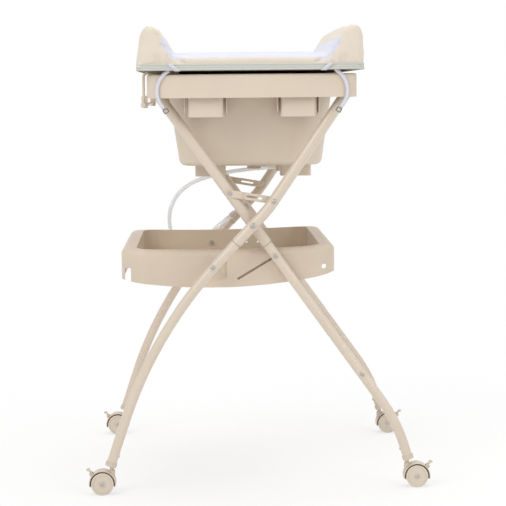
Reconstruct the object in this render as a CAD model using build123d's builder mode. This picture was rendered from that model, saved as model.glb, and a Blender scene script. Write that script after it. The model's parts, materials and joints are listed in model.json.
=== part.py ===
"""Changing table: a baby bath and a hinged changing top on a folding cross-legged frame with casters.

Millimetres. +X is to the user's right, +Y is to the rear and +Z is up. The origin is on the floor, midway
between the casters.
"""

import os
from math import atan2, cos, degrees, radians, sin, tan

from build123d import *

os.makedirs("parts", exist_ok=True)

# Fits
running_clearance = 0.05
part_gap = 0.3

# Bath length, which sets the depth of the frame, the tray and the changing top
rim_half_length = 372.0
rim_end_gap = 22.0

# Frame
stance_half = 330.0
upper_radius = 12.0
upper_wall = 0.9
lower_radius = 11.0
lower_wall = 1.0
tube_gap = 8.0
pivot_x = -12.5
pivot_z = 594.0
rail_reach = 211.0
rail_z = 889.0
rail_radius = 12.5
rail_wall = 1.2
rail_overhang = 10.0
rail_cap_thickness = 3.0
rail_cap_insert = 15.0
bent_plane = rim_half_length - rim_end_gap - rail_cap_thickness - rail_overhang
straight_plane = bent_plane - 2 * upper_radius - tube_gap
seam_drop = 55.0
sleeve_overlap = 30.0
foot_z = 71.0
straight_foot_lean = 17.3
straight_foot_bend = 360.0
bent_lean = 43.4
bent_rise = 52.0
bent_elbow = 300.0
bent_foot_lean = 18.5
bent_foot_bend = 950.0

# Bolts, rivets and struts
bolt_radius = 4.0
bolt_head_radius = 6.5
bolt_head_height = 3.0
bolt_nut_height = 5.0
recess_length = 5.2
recess_width = 1.5
recess_sink = 1.5
spacer_radius = 9.0
strut_thickness = 2.0
strut_gap = 0.6
strut_rivet_radius = 3.0
strut_rivet_head = 1.4
strut_half_width = 8.0
strut_plate_length = 72.0
strut_slider_length = 58.0
strut_slot_width = 5.0
strut_slot_length = 30.0
strut_lean = 10.1
strut_plate_drop = 85.5
strut_slider_x = 46.0
strut_slider_rise = 53.0

# Casters
wheel_radius = 25.0
wheel_width = 14.0
wheel_gap = 0.6
wheel_rim = 4.0
wheel_dish = 1.5
wheel_edge = 2.0
hub_radius = 7.0
hood_inner = 26.4
hood_outer = 29.6
hood_half_width = 15.5
hood_skirt = 6.0
web_thickness = 5.0
caster_trail = 21.0
neck_radius = 7.0
neck_top = 54.0
stem_radius = 4.5
stem_length = 18.0
axle_radius = 3.0
axle_head_radius = 4.4
axle_head_height = 1.6
pedal_angle = 40.0
pedal_pin_orbit = 32.4
pedal_boss_radius = 2.5
pedal_pin_radius = 1.5
pedal_half_width = 5.5
pedal_length = 13.0
pedal_thickness = 3.0
pedal_lean = 62.0
lug_radius = 4.2
lug_thickness = 2.5
plug_collar_radius = 12.5
plug_collar_length = 9.0
plug_insert_length = 26.0
stem_bore_depth = 20.0
snap_radius = 3.0
snap_height = 1.6
snap_rise = 18.0

# Tray
tray_left = -294.0
tray_right = 186.0
tray_side_gap = 6.0
tray_half_length = straight_plane - lower_radius - tray_side_gap
tray_corner = 60.0
tray_top = 545.0
tray_left_dip = 5.0
tray_mid_dip = 8.5
tray_floor = 488.0
tray_wall = 3.5
tray_lip = 16.0
tray_end_lip = 34.0
tray_lip_round = 14.0
tray_left_bottom = 470.0
tray_mid_bottom = 452.5
tray_right_bottom = 483.0
tray_pivot_x = -89.0
tray_pivot_drop = 91.0
tray_bolt_radius = 3.0
tray_bolt_head = 5.5
guide_x = 50.0
guide_gap = 1.0
leg_screw_drop = 414.0
leg_screw_head = 5.0
slot_width = 5.0
slot_depth = 9.0
slot_near = (130.0, 12.0)
slot_far = (56.5, -31.5)
notch_x = -278.5
notch_width = 14.0
notch_top = 496.0
tray_hole_x = 159.5
tray_hole_z = 496.0
tray_hole_radius = 5.5
recess_right = -57.5
recess_top_left = -78.0
recess_low_left = -112.0
recess_top = 515.0
recess_low_z = 460.5
recess_bottom = 471.0
recess_depth = 7.0
recess_draft = 2.0
recess_shelf = 9.0
lath_hole_radius = 2.5
lath_hole_z = 503.0
lath_hole_x = (1.0, 29.0)

# Tub
rim_half_width = 227.5
rim_bow = 8.0
rim_corner = 25.0
rim_z = 924.0
rim_plate = 4.0
rim_edge = 5.0
skirt_bottom = 873.0
skirt_wall = 3.0
saddle_rib = 4.0
saddle_pitch = 130.0
tub_bottom = 721.0
tub_wall = 4.0
tub_top_half_width = 189.5
tub_end_margin = 87.0
tub_top_half_length = rim_half_length - tub_end_margin
tub_top_corner = 90.0
tub_floor_half_width = 160.0
tub_end_draft = 30.0
tub_floor_half_length = tub_top_half_length - tub_end_draft
tub_floor_corner = 70.0
tub_floor_fillet = 14.0
pocket_x = 100.5
pocket_width = 77.0
pocket_end_margin = 45.0
pocket_y = rim_half_length - pocket_end_margin
pocket_length = 66.0
pocket_bottom = 831.0
pocket_wall = 2.5
pocket_corner = 9.0
pocket_edge = 3.0
pocket_web = 2.5
pocket_web_gap = 5.5
pocket_web_front = 350.0
pocket_web_drop = 28.0
foot_x = 98.0
foot_offset = 7.0
foot_y = 120.0
foot_width = 70.0
foot_length = 60.0
foot_height = 28.0
foot_corner = 8.0
drain_x = 18.0
drain_y = 175.0
drain_radius = 14.0
outlet_radius = 17.0
outlet_height = 25.0
outlet_floor = 3.0
nozzle_radius = 3.5
nozzle_bore = 2.2
nozzle_length = 28.0
nozzle_drop = 16.0
plug_disc_height = 6.0
plug_knob_radius = 6.0
plug_knob_height = 10.0

# Drain hose, from the outlet's nozzle round behind the tray
hose_radius = 5.0
hose_bore = 3.6
stopper_radius = 7.0
stopper_length = 16.0
hose_route = [
    (49, 175, 705),
    (85, 175, 705),
    (104.4, 189.1, 703.5),
    (111.8, 211.9, 702),
    (104.4, 234.8, 700),
    (85, 248.9, 697.5),
    (50, 252, 694),
    (4, 254, 690.5),
    (-45, 255, 684),
    (-92, 257, 674),
    (-134, 262, 660),
    (-168, 268, 636),
    (-189, 277, 604),
    (-197, 288, 572),
    (-195, 298, 541),
    (-191, 303, 519),
    (-188, 306, 497),
    (-180.7, 306, 474.7),
    (-161.7, 306, 460.9),
    (-138.3, 306, 460.9),
    (-119.3, 306, 474.7),
    (-111, 306, 497),
    (-99, 306, 517),
    (-81, 306, 535),
    (-61, 306, 552),
    (-40, 306, 568),
]

# Changing top
hinge_x = -235.0
hinge_z = 859.0
hinge_rod_radius = 4.0
bail_end_margin = 32.0
bail_y = rim_half_length - bail_end_margin
rod_past_bail = 12.0
hinge_rod_half = bail_y + rod_past_bail
lug_inside_bail = 40.0
lug_y = bail_y - lug_inside_bail
hinge_lug_thickness = 8.0
hinge_lug_outer = 241.0
hinge_lug_bottom = 852.0
hinge_lug_top = 879.0
lug_corner = 3.0
bail_wire = 3.0
bail_ball = 7.0
bail_bend = 10.0
bail_reach = -158.0
board_bottom = 931.0
board_thickness = 5.0
board_half_width = 228.0
board_end_margin = 4.0
board_half_length = rim_half_length - board_end_margin
board_corner = 30.0

# Changing pad: half sections, from the middle of the pad outwards
pad_half_width = 246.0
pad_overhang = 18.0
pad_half_length = rim_half_length + pad_overhang
pad_offset = -3.5
pad_flat_top = 968.0
pad_crown = 4.0
pad_band_top = 950.0
wing_top = 1036.0
wing_inner = 157.0
wing_outer = 238.0
wing_crest = 219.0
wing_round = 20.0
wing_bow = 13.7
wing_bow_drop = 5.5
shoulder_reach = 19.0
shoulder_drop = 14.0
shoulder_bow_reach = 10.5
shoulder_bow_drop = 4.5
trough_reach = 9.0
trough_rise = 5.0
trough_bow_reach = 4.5
trough_bow_rise = 1.3
pad_end_draw = 7.0
pad_end_depth = 16.0

# Corner straps
strap_stand_off = 5.0
strap_plane = rim_half_length + strap_stand_off
strap_thickness = 1.5
strap_width = 9.0
strap_top_x = 180.0
strap_mid_x = 209.5
strap_mid_z = 888.0
strap_end_x = 193.0
strap_end_z = 848.0
strap_end_lean = 32.0
buckle_width = 12.0
buckle_height = 11.0
buckle_bar = 2.5
buckle_thickness = 3.0


def finish(builder, name):
    """Label a finished piece and write it."""
    builder.part.label = name
    export_step(builder.part, f"parts/{name}.step")


def front_view(y):
    """The plane of the front view, at depth y: local x is X and local y is Z."""
    return Plane.XZ.offset(-y)


def depth_rod(x, z, near, far, radius, mode=Mode.ADD):
    """A round bar along the depth, in the part being built."""
    with Locations(Location((x, (near + far) / 2, z), (90, 0, 0))):
        Cylinder(radius, far - near, mode=mode)


def lean_meet(point, lean, other, other_lean):
    """Where two lines in the front view meet, each leaning from the vertical by an angle."""
    slope = tan(radians(lean))
    other_slope = tan(radians(other_lean))
    z = (other[0] - point[0] + slope * point[1] - other_slope * other[1]) / (slope - other_slope)
    return (point[0] + slope * (z - point[1]), z)


def along(point, lean, length):
    """A point moved up a line that leans from the vertical."""
    return (point[0] + length * sin(radians(lean)), point[1] + length * cos(radians(lean)))


def swept_tube(points, bend, radius, wall, y):
    """A round tube through points of the front view, with one bend radius."""
    with BuildPart() as tube:
        with BuildLine(front_view(y)) as path:
            if len(points) == 2:
                Line(points[0], points[1])
            else:
                FilletPolyline(*points, radius=bend)
        route = path.wire()
        with BuildSketch(Plane(origin=route @ 0, z_dir=route % 0)):
            Circle(radius)
            if wall < radius:
                Circle(radius - wall, mode=Mode.SUBTRACT)
        sweep(path=route)
    return tube


# Frame points in the front view
pivot = (pivot_x, pivot_z)
left_rail = (pivot_x - rail_reach, rail_z)
right_rail = (pivot_x + rail_reach, rail_z)
straight_lean = -degrees(atan2(rail_reach, rail_z - pivot_z))
straight_seam = along(pivot, straight_lean, -seam_drop)
straight_foot = (stance_half, foot_z)
straight_corner = lean_meet(pivot, straight_lean, straight_foot, -straight_foot_lean)
bent_elbow_point = along(pivot, bent_lean, bent_rise)
bent_seam = along(pivot, bent_lean, -seam_drop)
bent_foot = (-stance_half, foot_z)
bent_corner = lean_meet(pivot, bent_lean, bent_foot, bent_foot_lean)
plate_pivot = along(pivot, straight_lean, strut_plate_drop)
slider_pivot = (pivot_x + strut_slider_x, pivot_z + strut_slider_rise)
tray_pivot = (pivot_x + tray_pivot_x, pivot_z - tray_pivot_drop)
guide_pin = (pivot_x + guide_x, pivot_z - guide_x / tan(radians(-straight_lean)))
leg_screw = along(pivot, straight_lean, -leg_screw_drop)
straight_outer_face = straight_plane + upper_radius
bent_inner_face = bent_plane - upper_radius


def drill(x, z, y, radius):
    """A cross hole through a tube at depth y."""
    depth_rod(x, z, y - 2 * rail_radius, y + 2 * rail_radius, radius, Mode.SUBTRACT)


def snap_frame(foot, lean):
    """The snap button's place: the middle of the tube above the foot, and its inward direction."""
    middle = along(foot, lean, snap_rise)
    inward = Vector(cos(radians(lean)), -sin(radians(lean)))
    if foot[0] > 0:
        inward = inward * -1
    return middle, inward


def radial_bar(middle, inward, y, radius, length, mode=Mode.ADD):
    """A short bar in the front view's plane, from the middle of a tube outwards."""
    start = Vector(middle[0], y, middle[1])
    plane = Plane(origin=start, z_dir=(inward.X, 0, inward.Y))
    with BuildSketch(plane) as face:
        Circle(radius)
    extrude(face.sketch, amount=length, mode=mode)


# Leg tubes, front and rear of each frame
for end, side in (("front", -1), ("rear", 1)):
    y = side * straight_plane
    with BuildPart() as straight_upper:
        add(swept_tube([left_rail, straight_seam], None, upper_radius, upper_wall, y).part)
        depth_rod(*left_rail, y - 2 * rail_radius, y + 2 * rail_radius, rail_radius, Mode.SUBTRACT)
        drill(*pivot, y, bolt_radius)
        drill(*plate_pivot, y, strut_rivet_radius)
    finish(straight_upper, f"{end}_straight_upper_leg")

    with BuildPart() as straight_lower:
        start = along(straight_seam, straight_lean, sleeve_overlap)
        points = [start, straight_corner, straight_foot]
        add(swept_tube(points, straight_foot_bend, lower_radius, lower_wall, y).part)
        drill(*guide_pin, y, tray_bolt_radius)
        drill(*leg_screw, y, tray_bolt_radius)
        snap = snap_frame(straight_foot, -straight_foot_lean)
        radial_bar(*snap, y, snap_radius, 2 * lower_radius, Mode.SUBTRACT)
    finish(straight_lower, f"{end}_straight_lower_leg")

    y = side * bent_plane
    with BuildPart() as bent_upper:
        points = [right_rail, bent_elbow_point, bent_seam]
        add(swept_tube(points, bent_elbow, upper_radius, upper_wall, y).part)
        depth_rod(*right_rail, y - 2 * rail_radius, y + 2 * rail_radius, rail_radius, Mode.SUBTRACT)
        drill(*pivot, y, bolt_radius + running_clearance)
        drill(*slider_pivot, y, strut_rivet_radius)
    finish(bent_upper, f"{end}_bent_upper_leg")

    with BuildPart() as bent_lower:
        start = along(bent_seam, bent_lean, sleeve_overlap)
        points = [start, bent_corner, bent_foot]
        add(swept_tube(points, bent_foot_bend, lower_radius, lower_wall, y).part)
        drill(*tray_pivot, y, tray_bolt_radius)
        snap = snap_frame(bent_foot, bent_foot_lean)
        radial_bar(*snap, y, snap_radius, 2 * lower_radius, Mode.SUBTRACT)
    finish(bent_lower, f"{end}_bent_lower_leg")

# Top rails and their end caps
for name, rail, plane in (("left", left_rail, straight_plane), ("right", right_rail, bent_plane)):
    half = plane + rail_overhang
    with BuildPart() as top_rail:
        depth_rod(*rail, -half, half, rail_radius)
        depth_rod(*rail, -half, half, rail_radius - rail_wall, Mode.SUBTRACT)
    finish(top_rail, f"{name}_top_rail")

    with BuildPart() as rail_caps:
        for side in (-1, 1):
            outer = side * (half + rail_cap_thickness)
            inner = side * (half - rail_cap_insert)
            face = side * half
            depth_rod(*rail, min(face, outer), max(face, outer), rail_radius)
            depth_rod(*rail, min(face, inner), max(face, inner), rail_radius - rail_wall)
        rims = rail_caps.faces().filter_by(Axis.Y).sort_by(Axis.Y)
        fillet([rims[0].edge(), rims[-1].edge()], rail_cap_thickness / 2)
    finish(rail_caps, f"{name}_rail_caps")

# Foot plugs with their snap buttons
for name, foot, lean, plane in (
    ("straight", straight_foot, -straight_foot_lean, straight_plane),
    ("bent", bent_foot, bent_foot_lean, bent_plane),
):
    with BuildPart() as foot_plugs:
        for side in (-1, 1):
            y = side * plane
            up = Vector(sin(radians(lean)), 0, cos(radians(lean)))
            seat = Plane(origin=(foot[0], y, foot[1]), z_dir=up)
            with BuildSketch(seat):
                Circle(plug_collar_radius)
            extrude(amount=-plug_collar_length)
            with BuildSketch(seat):
                Circle(lower_radius - lower_wall)
            extrude(amount=plug_insert_length)
            radial_bar(*snap_frame(foot, lean), y, snap_radius, lower_radius + snap_height)
            with BuildSketch(Plane.XY.offset(neck_top)):
                with Locations((foot[0], y)):
                    Circle(stem_radius + running_clearance)
            extrude(amount=stem_bore_depth, mode=Mode.SUBTRACT)
    finish(foot_plugs, f"{name}_foot_plugs")


def headed_bolt(x, z, side, outer, inner, radius, head_radius, nut):
    """A domed bolt along the depth, from its head's seat at outer to its nut's seat at inner."""
    low, high = sorted((side * outer, side * inner))
    depth_rod(x, z, low, high, radius)
    head_end = side * (outer + bolt_head_height)
    depth_rod(x, z, min(side * outer, head_end), max(side * outer, head_end), head_radius)
    if nut:
        nut_end = side * (inner - bolt_nut_height)
        seat = side * inner
        depth_rod(x, z, min(seat, nut_end), max(seat, nut_end), head_radius)


def cross_recess(x, z, outer):
    """A cross recess in both heads of a pair of screws, in the part being built."""
    for side in (-1, 1):
        with BuildSketch(front_view(side * (outer + bolt_head_height))) as cross:
            with Locations((x, z)):
                Rectangle(recess_length, recess_width)
                Rectangle(recess_width, recess_length)
        extrude(cross.sketch, amount=side * recess_sink, mode=Mode.SUBTRACT)


# Cross pivot bolts and the spacers between the tubes
with BuildPart() as cross_bolts:
    for side in (-1, 1):
        outer = bent_plane + upper_radius + part_gap
        headed_bolt(*pivot, side, outer, straight_plane - upper_radius, bolt_radius, bolt_head_radius, True)
    domes = cross_bolts.faces().filter_by(Axis.Y).sort_by(Axis.Y)
    fillet([domes[0].edge(), domes[-1].edge()], bolt_head_height * 0.8)
    cross_recess(*pivot, outer)
finish(cross_bolts, "cross_pivot_bolts")

with BuildPart() as spacers:
    for side in (-1, 1):
        near, far = sorted((side * (straight_outer_face + part_gap), side * (bent_inner_face - part_gap)))
        depth_rod(*pivot, near, far, spacer_radius)
        depth_rod(*pivot, near, far, bolt_radius, Mode.SUBTRACT)
finish(spacers, "cross_pivot_spacers")


# Locking struts in the gap between the tubes
plate_face = straight_outer_face + strut_gap
slider_face = plate_face + strut_thickness + strut_rivet_head + strut_gap


def strut_direction(length):
    """A step along the strut, from the plate's pivot towards the slider's pivot."""
    return (length * cos(radians(strut_lean)), -length * sin(radians(strut_lean)))


def strut_bar(pivot_point, length, slot_start, slot_end, bore, face, side):
    """A slotted bar in the front view, lying between face and face plus its thickness."""
    turn = -strut_lean
    middle = Vector(*pivot_point) + Vector(*strut_direction(length / 2))
    slot_middle = Vector(*pivot_point) + Vector(*strut_direction((slot_start + slot_end) / 2))
    with BuildSketch(front_view(side * face)) as outline:
        with Locations(Location((middle.X, middle.Y, 0), (0, 0, turn))):
            SlotCenterToCenter(abs(length), 2 * strut_half_width)
        with Locations(Location((slot_middle.X, slot_middle.Y, 0), (0, 0, turn))):
            SlotCenterToCenter(abs(slot_end - slot_start), strut_slot_width, mode=Mode.SUBTRACT)
        with Locations(pivot_point):
            Circle(bore, mode=Mode.SUBTRACT)
    extrude(outline.sketch, amount=-side * strut_thickness)


for end, side in (("front", -1), ("rear", 1)):
    with BuildPart() as strut_plate:
        slot_start = strut_plate_length - strut_slot_length
        bore = strut_rivet_radius + running_clearance
        strut_bar(plate_pivot, strut_plate_length, slot_start, strut_plate_length, bore, plate_face, side)
    finish(strut_plate, f"{end}_strut_plate")

    with BuildPart() as strut_slider:
        slot_start = -strut_slider_length
        slot_end = slot_start + strut_slot_length
        strut_bar(slider_pivot, -strut_slider_length, slot_start, slot_end, bore, slider_face, side)
    finish(strut_slider, f"{end}_strut_slider")

with BuildPart() as plate_rivets:
    for side in (-1, 1):
        outer = plate_face + strut_thickness
        near, far = sorted((side * (straight_plane - upper_radius), side * outer))
        depth_rod(*plate_pivot, near, far, strut_rivet_radius)
        near, far = sorted((side * outer, side * (outer + strut_rivet_head - part_gap)))
        depth_rod(*plate_pivot, near, far, tray_bolt_head)
finish(plate_rivets, "strut_plate_rivets")

with BuildPart() as slider_rivets:
    for side in (-1, 1):
        outer = bent_plane + upper_radius
        headed_bolt(*slider_pivot, side, outer, slider_face, strut_rivet_radius, tray_bolt_head, False)
    domes = slider_rivets.faces().filter_by(Axis.Y).sort_by(Axis.Y)
    fillet([domes[0].edge(), domes[-1].edge()], bolt_head_height * 0.8)
finish(slider_rivets, "strut_slider_rivets")


# Casters
def caster_arch(center, radius, mode=Mode.ADD):
    """A disc without its lower part, in the sketch being drawn."""
    with Locations(center):
        Circle(radius, mode=mode)


def cut_below(center):
    """Remove what lies under the hood's skirt, in the sketch being drawn."""
    with Locations((center[0], center[1] - hood_skirt - hood_outer)):
        Rectangle(4 * hood_outer, 2 * hood_outer, mode=Mode.SUBTRACT)


for corner, stem_x, y, side in (
    ("front_left", bent_foot[0], -bent_plane, -1),
    ("rear_left", bent_foot[0], bent_plane, -1),
    ("front_right", straight_foot[0], -straight_plane, 1),
    ("rear_right", straight_foot[0], straight_plane, 1),
):
    plane = front_view(y)
    center = (stem_x + side * caster_trail, wheel_radius)
    tilt = radians(pedal_angle)
    pin = (center[0] + side * pedal_pin_orbit * cos(tilt), center[1] + pedal_pin_orbit * sin(tilt))
    lug_inner = pedal_half_width + part_gap
    lug_outer = lug_inner + lug_thickness

    with BuildPart() as hood:
        with BuildSketch(Plane.XY.offset(wheel_radius)):
            with Locations((stem_x, y)):
                Circle(neck_radius)
        extrude(amount=neck_top - wheel_radius)
        depth_rod(*center, y - hood_half_width, y + hood_half_width, hood_inner, Mode.SUBTRACT)
        with BuildSketch(plane):
            caster_arch(center, hood_outer)
            caster_arch(center, hood_inner, Mode.SUBTRACT)
            cut_below(center)
        extrude(amount=hood_half_width, both=True)
        with BuildSketch(plane):
            caster_arch(center, (hood_inner + hood_outer) / 2)
            cut_below(center)
        extrude(amount=web_thickness / 2, both=True)
        with BuildSketch(plane):
            with Locations(pin):
                Circle(lug_radius)
            caster_arch(center, hood_inner, Mode.SUBTRACT)
        extrude(amount=lug_outer, both=True)
        with BuildSketch(plane):
            with Locations(pin):
                Circle(lug_radius + part_gap)
            caster_arch(center, hood_outer, Mode.SUBTRACT)
        extrude(amount=lug_inner, both=True, mode=Mode.SUBTRACT)
        depth_rod(*pin, y - lug_outer, y + lug_outer, pedal_pin_radius + running_clearance, Mode.SUBTRACT)
        depth_rod(*center, y - web_thickness, y + web_thickness, axle_radius, Mode.SUBTRACT)
        with BuildSketch(Plane.XY.offset(neck_top)):
            with Locations((stem_x, y)):
                Circle(stem_radius)
        extrude(amount=stem_length)
    finish(hood, f"{corner}_caster_hood")

    wheel_inner = web_thickness / 2 + wheel_gap
    wheel_outer = wheel_inner + wheel_width
    with BuildPart() as wheels:
        for way in (-1, 1):
            near, far = sorted((y + way * wheel_inner, y + way * wheel_outer))
            depth_rod(*center, near, far, wheel_radius)
        edges = wheels.edges().filter_by(GeomType.CIRCLE).sort_by(Axis.Y)
        fillet(edges, wheel_edge)
        for way in (-1, 1):
            near, far = sorted((y + way * (wheel_outer - wheel_dish), y + way * wheel_outer))
            depth_rod(*center, near, far, wheel_radius - wheel_rim, Mode.SUBTRACT)
            depth_rod(*center, near, far, hub_radius)
        depth_rod(*center, y - wheel_outer, y + wheel_outer, axle_radius + running_clearance, Mode.SUBTRACT)
    finish(wheels, f"{corner}_caster_wheels")

    with BuildPart() as axle:
        axle_half = wheel_outer + part_gap
        depth_rod(*center, y - axle_half, y + axle_half, axle_radius)
        for way in (-1, 1):
            near, far = sorted((y + way * axle_half, y + way * (axle_half + axle_head_height)))
            depth_rod(*center, near, far, axle_head_radius)
        domes = axle.faces().filter_by(Axis.Y).sort_by(Axis.Y)
        fillet([domes[0].edge(), domes[-1].edge()], axle_head_height * 0.8)
    finish(axle, f"{corner}_caster_axle")

    with BuildPart() as pedal:
        lean = radians(pedal_lean)
        out = Vector(side * cos(lean), sin(lean))
        flat = Vector(side * sin(lean), -cos(lean))
        base = Vector(*pin) - flat * (pedal_thickness / 2)
        tip = base + out * pedal_length
        curl = tip + flat * (2.2 * pedal_thickness) + out * (pedal_thickness / 2)
        with BuildSketch(plane):
            with Locations(pin):
                Circle(pedal_boss_radius)
            with BuildLine():
                Polyline(
                    base,
                    tip,
                    curl,
                    curl - out * pedal_thickness,
                    base + out * (pedal_length - 1.5 * pedal_thickness) + flat * pedal_thickness,
                    base + flat * pedal_thickness,
                    close=True,
                )
            make_face()
        extrude(amount=pedal_half_width, both=True)
        depth_rod(*pin, y - lug_outer, y + lug_outer, pedal_pin_radius)
    finish(pedal, f"{corner}_brake_pedal")

# Storage tray
tray_middle = pivot_x + (tray_left + tray_right) / 2
tray_width = tray_right - tray_left


def tray_plan(end_inset, side_inset, mode=Mode.ADD):
    """The tray's plan, drawn in at its ends and its sides, in the sketch being drawn."""
    with Locations((tray_middle, 0)):
        RectangleRounded(
            tray_width - 2 * end_inset, 2 * (tray_half_length - side_inset), tray_corner - side_inset, mode=mode
        )


def recess_outline(draft, shelf):
    """The recess in the tray's wall beside the leg, drawn in by a draft and raised at its foot, in the sketch."""
    with BuildLine() as outline:
        Polyline(
            (pivot_x + recess_top_left + draft, recess_top - draft),
            (pivot_x + recess_right - draft, recess_top - draft),
            (pivot_x + recess_right - draft, recess_bottom + draft + shelf),
            (pivot_x + recess_low_left + draft, recess_low_z + draft + shelf),
            close=True,
        )
    make_face(outline.edges())


with BuildPart() as tray:
    with BuildSketch(Plane.XY.offset(tray_mid_bottom)):
        tray_plan(0, 0)
    extrude(amount=tray_top - tray_mid_bottom)
    with BuildSketch(front_view(0)):
        with BuildLine():
            left_low = (pivot_x + tray_left, tray_left_bottom)
            right_low = (pivot_x + tray_right, tray_right_bottom)
            ThreePointArc(left_low, (tray_middle, tray_mid_bottom), right_low)
            left_high = (pivot_x + tray_left, tray_top - tray_left_dip)
            right_high = (pivot_x + tray_right, tray_top)
            Line(right_low, right_high)
            ThreePointArc(right_high, (tray_middle, tray_top - tray_mid_dip), left_high)
            Line(left_high, left_low)
        make_face()
    extrude(amount=tray_half_length, both=True, mode=Mode.INTERSECT)
    fillet(tray.faces().sort_by(Axis.Z)[-1].edges(), tray_lip_round)
    with BuildSketch(Plane.XY.offset(tray_floor)):
        tray_plan(tray_end_lip, tray_lip)
    extrude(amount=tray_top - tray_floor, mode=Mode.SUBTRACT)
    with BuildSketch(Plane.XY.offset(tray_mid_bottom)):
        tray_plan(tray_wall, tray_wall)
    extrude(amount=tray_floor - tray_wall - tray_mid_bottom, mode=Mode.SUBTRACT)
    with BuildSketch(Plane.XY.offset(tray_floor - tray_wall)):
        tray_plan(tray_wall, tray_wall)
        tray_plan(tray_end_lip - tray_wall, tray_lip - tray_wall, Mode.SUBTRACT)
    extrude(amount=tray_top - tray_lip_round - tray_floor, mode=Mode.SUBTRACT)
    for side in (-1, 1):
        wall_y = side * tray_half_length
        with BuildSketch(front_view(wall_y - side * tray_wall / 2)):
            recess_outline(-tray_wall, 0)
        extrude(amount=side * (recess_depth + tray_wall / 2))
        with BuildSketch(front_view(wall_y)):
            recess_outline(0, 0)
        with BuildSketch(front_view(wall_y - side * recess_depth)):
            recess_outline(recess_draft, recess_shelf)
        loft(ruled=True, mode=Mode.SUBTRACT)
        low, high = sorted((side * tray_half_length, side * (tray_half_length - 2 * tray_lip)))
        depth_rod(*tray_pivot, low, high, tray_bolt_radius + running_clearance, Mode.SUBTRACT)
        near = Vector(*tray_pivot) + Vector(*slot_near)
        far = Vector(*tray_pivot) + Vector(*slot_far)
        middle = (near + far) / 2
        slot_turn = degrees(atan2((near - far).Y, (near - far).X))
        slot_place = Location((middle.X, middle.Y, 0), (0, 0, slot_turn))
        with BuildSketch(front_view(wall_y - side * tray_wall / 2)):
            with Locations(slot_place):
                SlotCenterToCenter((near - far).length, slot_width + 2 * tray_wall)
        extrude(amount=side * (tray_lip - 1.5 * tray_wall))
        with BuildSketch(front_view(wall_y)):
            with Locations(slot_place):
                SlotCenterToCenter((near - far).length, slot_width)
        extrude(amount=side * slot_depth, mode=Mode.SUBTRACT)
    with BuildSketch(front_view(0)):
        with Locations((pivot_x + notch_x, notch_top)):
            Rectangle(notch_width, 2 * tray_lip, align=(Align.CENTER, Align.MAX))
    extrude(amount=tray_half_length, both=True, mode=Mode.SUBTRACT)
    depth_rod(
        pivot_x + tray_hole_x,
        tray_hole_z,
        -tray_half_length,
        tray_corner / 2 - tray_half_length,
        tray_hole_radius,
        Mode.SUBTRACT,
    )
    for x in lath_hole_x:
        inner = tray_half_length - 2 * tray_lip
        depth_rod(pivot_x + x, lath_hole_z, inner, tray_half_length, lath_hole_radius, Mode.SUBTRACT)
finish(tray, "storage_tray")

with BuildPart() as tray_bolts:
    for side in (-1, 1):
        outer = bent_plane + lower_radius
        inner = tray_half_length - tray_lip - part_gap
        headed_bolt(*tray_pivot, side, outer, inner, tray_bolt_radius, tray_bolt_head, True)
        low, high = sorted((side * (bent_plane - lower_radius), side * (tray_half_length + part_gap)))
        depth_rod(*tray_pivot, low, high, tray_bolt_head)
    domes = tray_bolts.faces().filter_by(Axis.Y).sort_by(Axis.Y)
    fillet([domes[0].edge(), domes[-1].edge()], bolt_head_height * 0.8)
    cross_recess(*tray_pivot, outer)
finish(tray_bolts, "tray_pivot_bolts")

with BuildPart() as guide_pins:
    for side in (-1, 1):
        outer = straight_plane + lower_radius
        inner = tray_half_length + guide_gap
        headed_bolt(*guide_pin, side, outer, inner, tray_bolt_radius, tray_bolt_head, False)
    domes = guide_pins.faces().filter_by(Axis.Y).sort_by(Axis.Y)
    fillet([domes[0].edge(), domes[-1].edge()], bolt_head_height * 0.8)
    cross_recess(*guide_pin, outer)
finish(guide_pins, "tray_guide_pins")

with BuildPart() as leg_screws:
    for side in (-1, 1):
        outer = straight_plane + lower_radius
        inner = straight_plane - lower_radius
        headed_bolt(*leg_screw, side, outer, inner, tray_bolt_radius, leg_screw_head, False)
    domes = leg_screws.faces().filter_by(Axis.Y).sort_by(Axis.Y)
    fillet([domes[0].edge(), domes[-1].edge()], bolt_head_height * 0.8)
    cross_recess(*leg_screw, outer)
finish(leg_screws, "straight_leg_screws")


# Bath tub
def rim_plan(inset, z):
    """The rim's plan with bowed ends at height z, drawn in from its edge."""
    half_width = rim_half_width - inset
    half_length = rim_half_length - inset
    with BuildSketch(Plane.XY.offset(z)) as plan:
        with BuildLine():
            corners = [
                (pivot_x - half_width, -half_length),
                (pivot_x + half_width, -half_length),
                (pivot_x + half_width, half_length),
                (pivot_x - half_width, half_length),
            ]
            ThreePointArc(corners[0], (pivot_x, -half_length - rim_bow), corners[1])
            Line(corners[1], corners[2])
            ThreePointArc(corners[2], (pivot_x, half_length + rim_bow), corners[3])
            Line(corners[3], corners[0])
        make_face()
        fillet(plan.vertices(), rim_corner - inset)
    return plan.sketch


def tub_form(inset, top):
    """The bath's tapered form, drawn in from its outer wall on the sides and the floor."""
    with BuildPart() as form:
        with BuildSketch(Plane.XY.offset(tub_bottom + inset)):
            with Locations((pivot_x, 0)):
                RectangleRounded(
                    2 * (tub_floor_half_width - inset),
                    2 * (tub_floor_half_length - inset),
                    tub_floor_corner - inset,
                )
        with BuildSketch(Plane.XY.offset(top)):
            with Locations((pivot_x, 0)):
                RectangleRounded(
                    2 * (tub_top_half_width - inset),
                    2 * (tub_top_half_length - inset),
                    tub_top_corner - inset,
                )
        loft(ruled=True)
        fillet(form.faces().sort_by(Axis.Z)[0].edges(), tub_floor_fillet - inset)
    return form


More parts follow.
